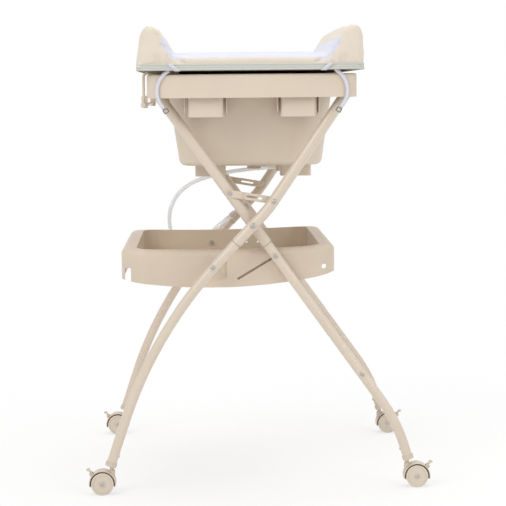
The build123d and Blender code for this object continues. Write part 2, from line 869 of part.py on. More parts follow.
pocket_places = [
    (pivot_x + x * pocket_x, y * pocket_y) for x in (-1, 1) for y in (-1, 1)
]
foot_places = [(pivot_x + foot_offset + x * foot_x, y * foot_y) for x in (-1, 1) for y in (-1, 1)]
drain_place = (pivot_x + drain_x, drain_y)
outer_form = tub_form(0, rim_z - rim_plate / 2)
inner_form = tub_form(tub_wall, rim_z)

with BuildPart() as rim_shell:
    extrude(rim_plan(0, skirt_bottom), amount=rim_z - skirt_bottom)
    fillet(rim_shell.faces().sort_by(Axis.Z)[-1].edges(), rim_edge)
    hollow = rim_z - rim_plate - skirt_bottom
    extrude(rim_plan(skirt_wall, skirt_bottom), amount=hollow, mode=Mode.SUBTRACT)

with BuildPart() as tub:
    add(rim_shell.part)
    add(outer_form.part)
    with BuildSketch(Plane.XY.offset(pocket_bottom)):
        with Locations(*pocket_places):
            RectangleRounded(pocket_width, pocket_length, pocket_corner)
    extrude(amount=rim_z - rim_plate / 2 - pocket_bottom)
    pocket_floors = tub.faces().filter_by(Plane.XY).filter_by_position(Axis.Z, pocket_bottom, pocket_bottom)
    fillet(pocket_floors.edges(), pocket_edge)
    web_reach = pocket_x + pocket_width / 2 + pocket_web_gap + pocket_web / 2
    web_inside = pocket_x - pocket_width / 2 - pocket_web_gap - pocket_web / 2
    for x in (-web_reach, -web_inside, web_inside, web_reach):
        for side in (-1, 1):
            with BuildSketch(Plane(origin=(pivot_x + x, 0, 0), x_dir=(0, 1, 0), z_dir=(1, 0, 0))):
                with BuildLine():
                    Polyline(
                        (side * pocket_web_front, rim_z - rim_plate / 2),
                        (side * pocket_web_front, skirt_bottom - pocket_web_drop),
                        (side * (tub_top_half_length - tub_wall), pocket_bottom),
                        (side * (tub_top_half_length - tub_wall), rim_z - rim_plate / 2),
                        close=True,
                    )
                make_face()
            extrude(amount=pocket_web / 2, both=True)
    with BuildSketch(Plane.XY.offset(tub_bottom - foot_height)):
        with Locations(*foot_places):
            RectangleRounded(foot_width, foot_length, foot_corner)
    extrude(amount=foot_height + tub_wall / 2)
    saddle_bottom = rail_z + rail_radius + part_gap
    with BuildSketch(Plane.XY.offset(saddle_bottom)):
        with GridLocations(0, saddle_pitch, 1, 5):
            for way in (-1, 1):
                with Locations((pivot_x + way * (rim_half_width - skirt_wall / 2), 0)):
                    saddle_width = rim_half_width - tub_top_half_width
                    saddle_side = Align.MAX if way > 0 else Align.MIN
                    Rectangle(saddle_width, saddle_rib, align=(saddle_side, Align.CENTER))
    extrude(amount=rim_z - rim_plate / 2 - saddle_bottom)
    add(inner_form.part, mode=Mode.SUBTRACT)
    with BuildSketch(Plane.XY.offset(pocket_bottom + pocket_wall)):
        with Locations(*pocket_places):
            RectangleRounded(
                pocket_width - 2 * pocket_wall, pocket_length - 2 * pocket_wall, pocket_corner - pocket_wall
            )
    extrude(amount=rim_z - pocket_bottom, mode=Mode.SUBTRACT)
    with BuildSketch(Plane.XY.offset(tub_bottom)):
        with Locations(drain_place):
            Circle(drain_radius)
    extrude(amount=tub_wall, mode=Mode.SUBTRACT)
finish(tub, "bath_tub")

# Drain outlet under the floor, its plug inside, and the hose
nozzle_z = tub_bottom - nozzle_drop
with BuildPart() as outlet:
    with BuildSketch(Plane.XY.offset(tub_bottom)):
        with Locations(drain_place):
            Circle(outlet_radius)
    extrude(amount=-outlet_height)
    nozzle_start = Plane(origin=(drain_place[0], drain_y, nozzle_z), z_dir=(1, 0, 0))
    with BuildSketch(nozzle_start):
        Circle(nozzle_radius)
    extrude(amount=outlet_radius + nozzle_length)
    with BuildSketch(Plane.XY.offset(tub_bottom)):
        with Locations(drain_place):
            Circle(drain_radius)
    extrude(amount=outlet_floor - outlet_height, mode=Mode.SUBTRACT)
    with BuildSketch(nozzle_start):
        Circle(nozzle_bore)
    extrude(amount=outlet_radius + nozzle_length, mode=Mode.SUBTRACT)
finish(outlet, "drain_outlet")

with BuildPart() as drain_plug:
    with BuildSketch(Plane.XY.offset(tub_bottom)):
        with Locations(drain_place):
            Circle(drain_radius - part_gap)
    extrude(amount=plug_disc_height)
    with BuildSketch(Plane.XY.offset(tub_bottom + plug_disc_height)):
        with Locations(drain_place):
            Circle(plug_knob_radius)
    extrude(amount=plug_knob_height)
    fillet(drain_plug.faces().sort_by(Axis.Z)[-1].edges(), plug_knob_radius / 3)
finish(drain_plug, "drain_plug")

route_points = [Vector(x + pivot_x, y, z) for x, y, z in hose_route]
hose_bends = []
for before, here, after in zip(route_points, route_points[1:], route_points[2:]):
    turn = (here - before).get_angle(after - here)
    shorter = min((here - before).length, (after - here).length)
    hose_bends.append(0.45 * shorter / tan(radians(turn / 2)))
print("hose bend radii:", [round(bend) for bend in hose_bends])
with BuildPart() as hose:
    with BuildLine() as hose_path:
        FilletPolyline(*route_points, radius=hose_bends)
    hose_line = hose_path.wire()
    with BuildSketch(Plane(origin=hose_line @ 0, z_dir=hose_line % 0)):
        Circle(hose_radius)
        Circle(hose_bore, mode=Mode.SUBTRACT)
    sweep(path=hose_line)
print("hose length:", round(hose_line.length), "section times length over volume:",
      round((hose_radius**2 - hose_bore**2) * 3.14159 * hose_line.length / hose.part.volume, 4))
finish(hose, "drain_hose")

with BuildPart() as stopper:
    with BuildSketch(Plane(origin=hose_line @ 1, z_dir=hose_line % 1)):
        Circle(stopper_radius)
    extrude(amount=stopper_length)
    fillet(stopper.edges().filter_by(GeomType.CIRCLE), stopper_radius / 4)
finish(stopper, "hose_stopper")

# Changing top: hinge rod, lugs, bails and board
hinge = (pivot_x + hinge_x, hinge_z)
with BuildPart() as hinge_rod:
    depth_rod(*hinge, -hinge_rod_half, hinge_rod_half, hinge_rod_radius)
finish(hinge_rod, "hinge_rod")

with BuildPart() as hinge_lugs:
    for side in (-1, 1):
        with BuildSketch(front_view(side * lug_y)):
            lug_middle = pivot_x - (hinge_lug_outer + rim_half_width) / 2
            with Locations((lug_middle, (hinge_lug_bottom + hinge_lug_top) / 2)):
                RectangleRounded(
                    hinge_lug_outer - rim_half_width, hinge_lug_top - hinge_lug_bottom, lug_corner
                )
            with Locations(hinge):
                Circle(hinge_rod_radius, mode=Mode.SUBTRACT)
        extrude(amount=hinge_lug_thickness / 2, both=True)
finish(hinge_lugs, "hinge_lugs")

for end, side in (("front", -1), ("rear", 1)):
    with BuildPart() as bail:
        wire_z = board_bottom - bail_wire
        points = [hinge, (hinge[0], wire_z), (pivot_x + bail_reach, wire_z)]
        add(swept_tube(points, bail_bend, bail_wire, bail_wire, side * bail_y).part)
        with Locations((hinge[0], side * bail_y, hinge[1])):
            Sphere(bail_ball)
        low, high = side * bail_y - bail_ball, side * bail_y + bail_ball
        depth_rod(*hinge, low, high, hinge_rod_radius + running_clearance, Mode.SUBTRACT)
    finish(bail, f"{end}_bail")

with BuildPart() as board:
    with BuildSketch(Plane.XY.offset(board_bottom)):
        with Locations((pivot_x, 0)):
            RectangleRounded(2 * board_half_width, 2 * board_half_length, board_corner)
    extrude(amount=board_thickness)
finish(board, "pad_board")


# Changing pad: one soft form with raised sides, its ends drawn in
pad_middle = pivot_x + pad_offset


def pad_section(y, draw):
    """A section of the pad across the table at depth y, drawn in by a margin on all free sides."""
    bottom = board_bottom + board_thickness
    outer = pad_half_width - draw
    crest = wing_top - draw
    band = pad_band_top
    flat_top = pad_flat_top - draw
    with BuildSketch(front_view(y)) as section:
        with BuildLine():
            for way in (-1, 1):
                foot = (pad_middle + way * outer, bottom)
                shoulder = (pad_middle + way * outer, band)
                flank = (pad_middle + way * (wing_outer - draw), crest - wing_round)
                top = (pad_middle + way * wing_crest, crest)
                inner = (pad_middle + way * wing_inner, flat_top)
                Line(foot, shoulder)
                Line(shoulder, flank)
                flank_bow = (pad_middle + way * (wing_crest + wing_bow - draw), crest - wing_bow_drop)
                ThreePointArc(flank, flank_bow, top)
                shoulder_bow = (pad_middle + way * (wing_crest - shoulder_bow_reach), crest - shoulder_bow_drop)
                shoulder_end = (pad_middle + way * (wing_crest - shoulder_reach), crest - shoulder_drop)
                ThreePointArc(top, shoulder_bow, shoulder_end)
                trough = (pad_middle + way * (wing_inner + trough_reach), flat_top + trough_rise)
                trough_bow = (pad_middle + way * (wing_inner + trough_bow_reach), flat_top + trough_bow_rise)
                Line(shoulder_end, trough)
                ThreePointArc(trough, trough_bow, inner)
            ThreePointArc(
                (pad_middle - wing_inner, flat_top),
                (pad_middle, flat_top + pad_crown),
                (pad_middle + wing_inner, flat_top),
            )
            Line((pad_middle - outer, bottom), (pad_middle + outer, bottom))
        make_face()
    return section


with BuildPart() as pad:
    end = pad_half_length - pad_end_depth
    stations = [(-pad_half_length, pad_end_draw), (-end, 0), (end, 0), (pad_half_length, pad_end_draw)]
    loft(sections=[pad_section(y, draw).sketch for y, draw in stations], ruled=True)
finish(pad, "changing_pad")

# Corner straps and their buckles
def strap_end(way):
    """The two corners of a strap's lower end and the middle of its buckle, in the front view."""
    lean = radians(strap_end_lean)
    low = Vector(pivot_x + way * strap_end_x, strap_end_z)
    low_inner = low + Vector(-way * cos(lean), sin(lean)) * strap_width
    buckle = (low + low_inner) / 2 + Vector(-way * sin(lean), -cos(lean)) * (buckle_height / 2)
    return low, low_inner, buckle


for end, side in (("front", -1), ("rear", 1)):
    for hand, way in (("left", -1), ("right", 1)):
        with BuildPart() as strap:
            with BuildSketch(front_view(side * strap_plane)):
                with BuildLine():
                    pad_bottom = board_bottom + board_thickness
                    top = Vector(pivot_x + way * strap_top_x, pad_bottom)
                    bend = Vector(pivot_x + way * strap_mid_x, strap_mid_z)
                    low, low_inner, _ = strap_end(way)
                    step = Vector(-way * strap_width, 0)
                    ThreePointArc(top, bend, low)
                    Line(low, low_inner)
                    ThreePointArc(low_inner, bend + step, top + step)
                    Line(top + step, top)
                make_face()
            extrude(amount=-side * strap_thickness)
        finish(strap, f"{end}_{hand}_strap")

with BuildPart() as buckles:
    for side in (-1, 1):
        for way in (-1, 1):
            _, _, middle = strap_end(way)
            with BuildSketch(front_view(side * strap_plane)):
                with Locations(Location((middle.X, middle.Y, 0), (0, 0, -way * strap_end_lean))):
                    RectangleRounded(buckle_width, buckle_height, buckle_bar)
                    Rectangle(
                        buckle_width - 2 * buckle_bar, buckle_height - 2 * buckle_bar, mode=Mode.SUBTRACT
                    )
            extrude(amount=-side * buckle_thickness)
finish(buckles, "strap_buckles")
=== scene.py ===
"""Looks for a changing table: bath, hinged changing pad, storage tray and folding frame on casters."""

import json
from math import atan2, copysign, exp, pi, radians

import bmesh
import bpy
from bpy.props import FloatProperty, FloatVectorProperty, PointerProperty, StringProperty
from mathutils import Matrix, Vector
from mathutils.geometry import intersect_point_line


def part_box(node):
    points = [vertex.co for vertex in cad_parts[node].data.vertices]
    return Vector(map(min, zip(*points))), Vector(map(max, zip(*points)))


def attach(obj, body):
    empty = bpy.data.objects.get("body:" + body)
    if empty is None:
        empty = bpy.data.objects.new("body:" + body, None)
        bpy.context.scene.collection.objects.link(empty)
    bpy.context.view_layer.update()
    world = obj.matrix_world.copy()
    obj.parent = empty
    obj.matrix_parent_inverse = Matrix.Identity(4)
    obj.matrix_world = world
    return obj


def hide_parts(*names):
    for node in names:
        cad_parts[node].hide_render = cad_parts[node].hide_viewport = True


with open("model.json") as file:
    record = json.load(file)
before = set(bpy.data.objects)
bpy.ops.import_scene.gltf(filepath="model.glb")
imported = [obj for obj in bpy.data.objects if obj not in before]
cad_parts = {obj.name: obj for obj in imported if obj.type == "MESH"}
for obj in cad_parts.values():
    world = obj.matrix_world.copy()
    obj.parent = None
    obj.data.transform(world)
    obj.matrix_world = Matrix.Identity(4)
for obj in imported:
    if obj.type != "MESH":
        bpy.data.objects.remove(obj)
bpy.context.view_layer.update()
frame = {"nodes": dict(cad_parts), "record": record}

bl_info = {
    "name": "Changing table looks",
    "version": (1, 0, 0),
    "blender": (4, 5, 0),
    "location": "View3D > Sidebar > Changing table",
    "description": "Builds the soft pieces and finishes of a changing table with a bath on a folding frame",
    "category": "Object",
}

# The table's middle line lies a little left of the origin
MIDDLE = -0.0125

# The camera: the photograph's width and focal length in pixels, the sensor in millimetres, and its turns in degrees
PHOTO_PIXELS = 506
FOCAL_PIXELS = 1690
SENSOR_MM = 36
CAMERA_TURN = -1.608
CAMERA_TILT = 84.559
CAMERA_ROLL = -0.512

# The softboxes: place and size in metres, and power in watts
SOFTBOXES = {
    "key_softbox": ((-2.2, -2.6, 2.9), 2.4, 50.0),
    "fill_softbox": ((2.6, -2.2, 1.9), 2.4, 24.0),
    "top_softbox": ((0.3, 0.6, 3.4), 3.0, 46.0),
}
SOFTBOX_AIM = Vector((0, 0, 0.6))

# How much light the white world gives to surfaces; what looks straight at it sees plain white
WORLD_LIGHT = 0.54

# The floor glows white all over from FLOOR_FAR outwards, and keeps a share of the shadow nearer than that, in metres
FLOOR_NEAR = 0.45
FLOOR_FAR = 1.5
FLOOR_GLOW_NEAR = 0.62
FLOOR_SIZE = 30

# The hose's route from the drain outlet, round the left, down behind the tray and up again, in metres
HOSE_ROUTE = [
    (0.049, 0.175, 0.705),
    (0.085, 0.175, 0.705),
    (0.1044, 0.1891, 0.7035),
    (0.1118, 0.2119, 0.702),
    (0.1044, 0.2348, 0.700),
    (0.085, 0.2489, 0.6975),
    (0.050, 0.252, 0.694),
    (0.004, 0.254, 0.6905),
    (-0.045, 0.255, 0.684),
    (-0.092, 0.257, 0.674),
    (-0.134, 0.262, 0.660),
    (-0.168, 0.268, 0.636),
    (-0.189, 0.277, 0.604),
    (-0.197, 0.288, 0.572),
    (-0.195, 0.298, 0.541),
    (-0.191, 0.303, 0.519),
    (-0.188, 0.306, 0.497),
    (-0.1807, 0.306, 0.4747),
    (-0.1617, 0.306, 0.4609),
    (-0.1383, 0.306, 0.4609),
    (-0.1193, 0.306, 0.4747),
    (-0.111, 0.306, 0.497),
    (-0.099, 0.306, 0.517),
    (-0.081, 0.306, 0.535),
    (-0.061, 0.306, 0.552),
    (-0.040, 0.306, 0.568),
]

# The pad lies a little left of the middle line
PAD_MIDDLE = MIDDLE - 0.0035

# Half of the pad's section from its foot to its middle: distance from the pad's middle and height, in metres
PAD_HALF_SECTION = [
    (0.2435, 0.9365),
    (0.2435, 0.9480),
    (0.2400, 0.9850),
    (0.2390, 1.0110),
    (0.2355, 1.0245),
    (0.2270, 1.0325),
    (0.2165, 1.0335),
    (0.2060, 1.0265),
    (0.1975, 1.0110),
    (0.1860, 0.9920),
    (0.1730, 0.9720),
    (0.1610, 0.9640),
    (0.0800, 0.9650),
]
PAD_MIDDLE_TOP = 0.9655

# The lying surface crowns along the pad by this height, and both raised sides lean right by this share of their height
PAD_CROWN = 0.009
PAD_LEAN = 0.06

# The crown lies above this height and within this distance of the pad's middle, and fades out over the last stretch
CROWN_LOW = 0.950
CROWN_REACH = 0.175
CROWN_FADE = 0.025

# The pad's end edges above this height are rounded by this radius, and what lies below the base stays put as it fills
PAD_EDGE_LOW = 0.943
PAD_EDGE_ROUND = 0.012
PAD_BASE_TOP = 0.9445
FILL_STEPS = 20

# How far the folds of the end faces reach along the pad
FOLD_REACH = 0.030

# The mesh on the pad: half width, top on the raised sides, half width at the ends, distance from the ends and foot
MESH_FLANK = 0.1970
MESH_TOP = 1.0020
MESH_END_FLANK = 0.1600
MESH_END_GAP = 0.008
MESH_FOOT = 0.955

# The end seam of the mesh wavers between these two heights
SEAM_LOW = 0.957
SEAM_HIGH = 0.969

# Folds pressed into the pad's two end faces: both ends of the fold from the pad's middle, its width and its depth
PAD_FOLDS = [
    ((0.189, 0.986), (0.150, 0.950), 0.0055, 0.0050),
    ((0.205, 0.962), (0.203, 0.948), 0.0040, 0.0030),
    ((0.196, 0.960), (0.195, 0.948), 0.0040, 0.0032),
    ((0.178, 0.964), (0.176, 0.948), 0.0042, 0.0036),
    ((0.168, 0.961), (0.163, 0.948), 0.0042, 0.0036),
    ((0.153, 0.959), (0.143, 0.949), 0.0045, 0.0034),
    ((0.196, 1.009), (0.186, 1.003), 0.0040, 0.0036),
    ((0.193, 1.000), (0.186, 0.995), 0.0040, 0.0032),
    ((0.226, 1.018), (0.225, 0.996), 0.0050, 0.0018),
    ((0.234, 1.016), (0.233, 0.990), 0.0050, 0.0016),
]

# The border tape's section from its lower edge: height and how far it stands out, in metres
BORDER_PROFILE = [
    (0.9320, 0.0000),
    (0.9328, 0.0012),
    (0.9345, 0.0014),
    (0.9360, 0.0008),
    (0.9372, -0.0002),
    (0.9390, 0.0004),
    (0.9415, 0.0004),
    (0.9430, -0.0002),
    (0.9440, 0.0008),
    (0.9454, 0.0010),
    (0.9465, -0.0004),
]
BORDER_OVERHANG = 0.002
BORDER_CORNER = 0.02
BORDER_THICKNESS = 0.0014

# The arc of a corner strap from the pad's foot to its buckle: distance from the middle line and height, in metres
STRAP_ARC = [(0.180, 0.936), (0.2095, 0.888), (0.193, 0.848)]

# How far a strap's sewn end stands off the pad's end face, in metres
TAPE_STAND_OFF = 0.0045

# That end over the border and under the pad: distance from the pad's middle, way back from its stand-off, and height
TAPE_ROUTE = [
    (0.1800, 0.0000, 0.9460),
    (0.1710, 0.0000, 0.9390),
    (0.1640, 0.0000, 0.9325),
    (0.1625, 0.0040, 0.9312),
    (0.1650, 0.0135, 0.9310),
]

# How far from the axle a caster hood is painted dark, as shade in the gap round its wheels, in metres
HOOD_SHADE_REACH = 0.0279

# The skin of moulded ABS on the casters, with its grain in millimetres
ABS_SKIN = {"roughness": 0.36, "grain_mm": 1.0, "grain_depth": 0.1, "shade": 0.95}

# Where each pair of sleeves ends: body, distance from the middle line, height, and lean from the vertical in degrees
SLEEVE_ENDS = {
    "straight": ("straight_frame", 0.0320, 0.5493, 35.57),
    "bent": ("bent_frame", -0.0378, 0.5540, -43.4),
}
RING_THICKNESS = 0.0006

# The wave texture's bands lie this far apart at a scale of 1, in millimetres
WAVE_BAND_MM = 100 * pi


def hex_colour(code):
    """A linear colour from an sRGB hex value."""
    values = []
    for start in (1, 3, 5):
        part = int(code[start:start + 2], 16) / 255
        values.append(part / 12.92 if part <= 0.04045 else ((part + 0.055) / 1.055) ** 2.4)
    return (*values, 1.0)


class ChangingTableColours(bpy.types.PropertyGroup):
    """Colours of the table's materials, as sRGB hex values."""

    paint: StringProperty(name="Frame paint", description="Powder coat on the tubes", default="#DCCDBA")
    tub: StringProperty(name="Tub", description="Moulded bath", default="#DECFBC")
    tray: StringProperty(name="Tray", description="Moulded storage tray", default="#D9C9B5")
    fitting: StringProperty(name="Fittings", description="Small moulded parts", default="#D8C9B7")
    wheel: StringProperty(name="Wheels", description="Caster wheels", default="#DFD2C1")
    # Painted shade: the dark rings at the sleeves' ends stand for the shadow in each seam
    ring: StringProperty(name="Sleeve rings", description="Rings at the sleeves' ends", default="#A59480")
    # Painted shade: the dark brown inside the caster hoods stands for the shadow in the gap round the wheels
    hood_shade: StringProperty(name="Hood inside", description="Inside of the caster hoods", default="#5B4234")
    cover: StringProperty(name="Pad cover", description="Coated fabric of the pad", default="#E6DAC9")
    mesh: StringProperty(name="Pad mesh", description="Lying surface of the pad", default="#D6D7E3")
    border: StringProperty(name="Pad border", description="Border sewn round the pad", default="#D0D1C8")
    elastic: StringProperty(name="Elastic", description="Corner straps", default="#E4E4EE")
    board: StringProperty(name="Board", description="Panel under the pad", default="#A09385")


class ChangingTableSizes(bpy.types.PropertyGroup):
    """Sizes of the soft pieces and of the view."""

    hose_diameter: FloatProperty(name="Hose diameter", description="Outside of the hose", default=0.010,
                                 unit="LENGTH")
    pad_length: FloatProperty(name="Pad length", description="Pad along the bath", default=0.772, unit="LENGTH")
    pad_swell: FloatProperty(name="Pad swell", description="Most that the filling moves the cover",
                             default=0.0035, unit="LENGTH")
    pad_voxel: FloatProperty(name="Pad voxel", description="Grid of the pad before it is filled",
                             default=0.007, unit="LENGTH")
    border_half_width: FloatProperty(name="Border half width", description="Half of the border across the pad",
                                     default=0.2452, unit="LENGTH")
    strap_width: FloatProperty(name="Strap width", description="Width of the elastic straps", default=0.008,
                               unit="LENGTH")
    tape_width: FloatProperty(name="Tape width", description="Width of a strap's sewn end", default=0.012,
                              unit="LENGTH")
    strap_thickness: FloatProperty(name="Strap thickness", description="Thickness of the elastic",
                                   default=0.0013, unit="LENGTH")
    sleeve_radius: FloatProperty(name="Sleeve radius", description="Outside of the upper tubes", default=0.012,
                                 unit="LENGTH")
    ring_width: FloatProperty(name="Ring width", description="Width of a sleeve's end ring", default=0.0011,
                              unit="LENGTH")
    camera_place: FloatVectorProperty(name="Camera place", description="Where the photograph was taken from",
                                      default=(-0.1167, -4.0288, 0.885), subtype="TRANSLATION")


def add_node(tree, kind, settings=None, links=None):
    """Add a shader node, set its fields and sockets, and link sockets to other nodes' outputs."""
    node = tree.nodes.new(kind)
    for name, value in (settings or {}).items():
        if isinstance(name, str) and hasattr(node, name):
            setattr(node, name, value)
        else:
            node.inputs[name].default_value = value
    for name, output in (links or {}).items():
        tree.links.new(output, node.inputs[name])
    return node


def blank_material(name):
    """A material with an empty tree and its output."""
    material = bpy.data.materials.new(name)
    material.use_nodes = True
    material.node_tree.nodes.clear()
    output = add_node(material.node_tree, "ShaderNodeOutputMaterial")
    return material, material.node_tree, output


def show(tree, output, shader):
    """Link a shader to the material's output."""
    tree.links.new(shader.outputs["BSDF"], output.inputs["Surface"])


def looking_rays(tree):
    """1 for the rays that see the white studio itself, straight, in a reflection or through something clear."""
    rays = add_node(tree, "ShaderNodeLightPath")
    seen = add_node(tree, "ShaderNodeMath", {"operation": "MAXIMUM"},
                    {0: rays.outputs["Is Camera Ray"], 1: rays.outputs["Is Glossy Ray"]})
    seen = add_node(tree, "ShaderNodeMath", {"operation": "MAXIMUM"},
                    {0: seen.outputs["Value"], 1: rays.outputs["Is Transmission Ray"]})
    return seen.outputs["Value"]


def painted_shade_within(tree, place, tint, middle, radius, colour):
    """Painted shade: another colour on what lies within a radius of a line along Y, such as the shade in a hood's gap
    round its wheels.
    """
    offset = add_node(tree, "ShaderNodeVectorMath", {"operation": "SUBTRACT", 1: middle},
                      {0: place.outputs["Object"]})
    flat = add_node(tree, "ShaderNodeVectorMath", {"operation": "MULTIPLY", 1: (1, 0, 1)},
                    {0: offset.outputs["Vector"]})
    away = add_node(tree, "ShaderNodeVectorMath", {"operation": "LENGTH"}, {0: flat.outputs["Vector"]})
    within = add_node(tree, "ShaderNodeMath", {"operation": "LESS_THAN", 1: radius}, {0: away.outputs["Value"]})
    mix = add_node(tree, "ShaderNodeMix", {"data_type": "RGBA", 7: hex_colour(colour)},
                   {0: within.outputs["Value"], 6: tint})
    return mix.outputs[2]


def moulded(name, colour, roughness, grain_mm, grain_depth, shade, inside=None, coat=0.0):
    """A coloured surface with slow shade changes, about 110 mm across, and a fine grain of a size in millimetres."""
    material, tree, output = blank_material(name)
    base = hex_colour(colour)
    dark = tuple(channel * shade for channel in base[:3]) + (1.0,)
    place = add_node(tree, "ShaderNodeTexCoord")
    cloud = add_node(tree, "ShaderNodeTexNoise", {"Scale": 9.0, "Detail": 3.0, "Roughness": 0.55},
                     {"Vector": place.outputs["Object"]})
    ramp = add_node(tree, "ShaderNodeValToRGB", {}, {"Fac": cloud.outputs["Fac"]})
    ramp.color_ramp.elements[0].position = 0.35
    ramp.color_ramp.elements[0].color = dark
    ramp.color_ramp.elements[1].position = 0.65
    ramp.color_ramp.elements[1].color = base
    tint = ramp.outputs["Color"]
    # Painted shade, when asked for: another colour within a radius of a line, such as inside a caster hood
    if inside:
        tint = painted_shade_within(tree, place, tint, *inside)
    grain = add_node(tree, "ShaderNodeTexNoise", {"Scale": 1000 / grain_mm, "Detail": 2.0},
                     {"Vector": place.outputs["Object"]})
    bump = add_node(tree, "ShaderNodeBump", {"Strength": grain_depth, "Distance": 0.0004},
                    {"Height": grain.outputs["Fac"]})
    gloss = add_node(tree, "ShaderNodeMapRange",
                     {"From Min": 0.3, "From Max": 0.7, "To Min": roughness - 0.05, "To Max": roughness + 0.06},
                     {"Value": cloud.outputs["Fac"]})
    shader = add_node(tree, "ShaderNodeBsdfPrincipled", {"IOR": 1.49, "Coat Weight": coat, "Coat Roughness": 0.1},
                      {"Base Color": tint, "Roughness": gloss.outputs["Result"],
                       "Normal": bump.outputs["Normal"]})
    show(tree, output, shader)
    return material


def plated_steel(name, colour):
    """Plated steel: bright metal with turning marks about 0.7 mm apart that soften the reflection."""
    material, tree, output = blank_material(name)
    place = add_node(tree, "ShaderNodeTexCoord")
    marks = add_node(tree, "ShaderNodeTexNoise", {"Scale": 1400.0, "Detail": 2.0},
                     {"Vector": place.outputs["Object"]})
    gloss = add_node(tree, "ShaderNodeMapRange", {"To Min": 0.18, "To Max": 0.34},
                     {"Value": marks.outputs["Fac"]})
    bump = add_node(tree, "ShaderNodeBump", {"Strength": 0.08, "Distance": 0.0002},
                    {"Height": marks.outputs["Fac"]})
    shader = add_node(tree, "ShaderNodeBsdfPrincipled",
                      {"Base Color": hex_colour(colour), "Metallic": 1.0},
                      {"Roughness": gloss.outputs["Result"], "Normal": bump.outputs["Normal"]})
    show(tree, output, shader)
    return material


def soft_vinyl():
    """Soft vinyl tube: milky and half clear, with a smooth extruded skin.

    It is hollow, so it bends light less than a solid rod, and its IOR is set low for that.
    """
    material, tree, output = blank_material("soft_vinyl")
    place = add_node(tree, "ShaderNodeTexCoord")
    cloud = add_node(tree, "ShaderNodeTexNoise", {"Scale": 60.0, "Detail": 2.0},
                     {"Vector": place.outputs["Object"]})
    ramp = add_node(tree, "ShaderNodeValToRGB", {}, {"Fac": cloud.outputs["Fac"]})
    ramp.color_ramp.elements[0].color = hex_colour("#F8F9FA")
    ramp.color_ramp.elements[1].color = hex_colour("#FEFEFE")
    shader = add_node(tree, "ShaderNodeBsdfPrincipled",
                      {"IOR": 1.12, "Roughness": 0.3, "Transmission Weight": 0.5},
                      {"Base Color": ramp.outputs["Color"]})
    show(tree, output, shader)
    return material


def pale_rubber():
    """Moulded rubber stopper: pale, dull, with a fine skin."""
    return moulded("moulded_rubber", "#D9D6D0", roughness=0.7, grain_mm=0.8, grain_depth=0.25, shade=0.94)


def faced_board(colour):
    """Faced fibreboard: dull foil with a faint grain along its length, about 5 mm wide."""
    material, tree, output = blank_material("faced_fibreboard")
    place = add_node(tree, "ShaderNodeTexCoord")
    stretch = add_node(tree, "ShaderNodeMapping", {"Scale": (1.0, 0.08, 1.0)},
                       {"Vector": place.outputs["Object"]})
    grain = add_node(tree, "ShaderNodeTexNoise", {"Scale": 220.0, "Detail": 4.0},
                     {"Vector": stretch.outputs["Vector"]})
    ramp = add_node(tree, "ShaderNodeValToRGB", {}, {"Fac": grain.outputs["Fac"]})
    base = hex_colour(colour)
    ramp.color_ramp.elements[0].color = tuple(channel * 0.75 for channel in base[:3]) + (1.0,)
    ramp.color_ramp.elements[1].color = base
    bump = add_node(tree, "ShaderNodeBump", {"Strength": 0.1, "Distance": 0.0003},
                    {"Height": grain.outputs["Fac"]})
    shader = add_node(tree, "ShaderNodeBsdfPrincipled", {"Roughness": 0.55, "IOR": 1.5},
                      {"Base Color": ramp.outputs["Color"], "Normal": bump.outputs["Normal"]})
    show(tree, output, shader)
    return material


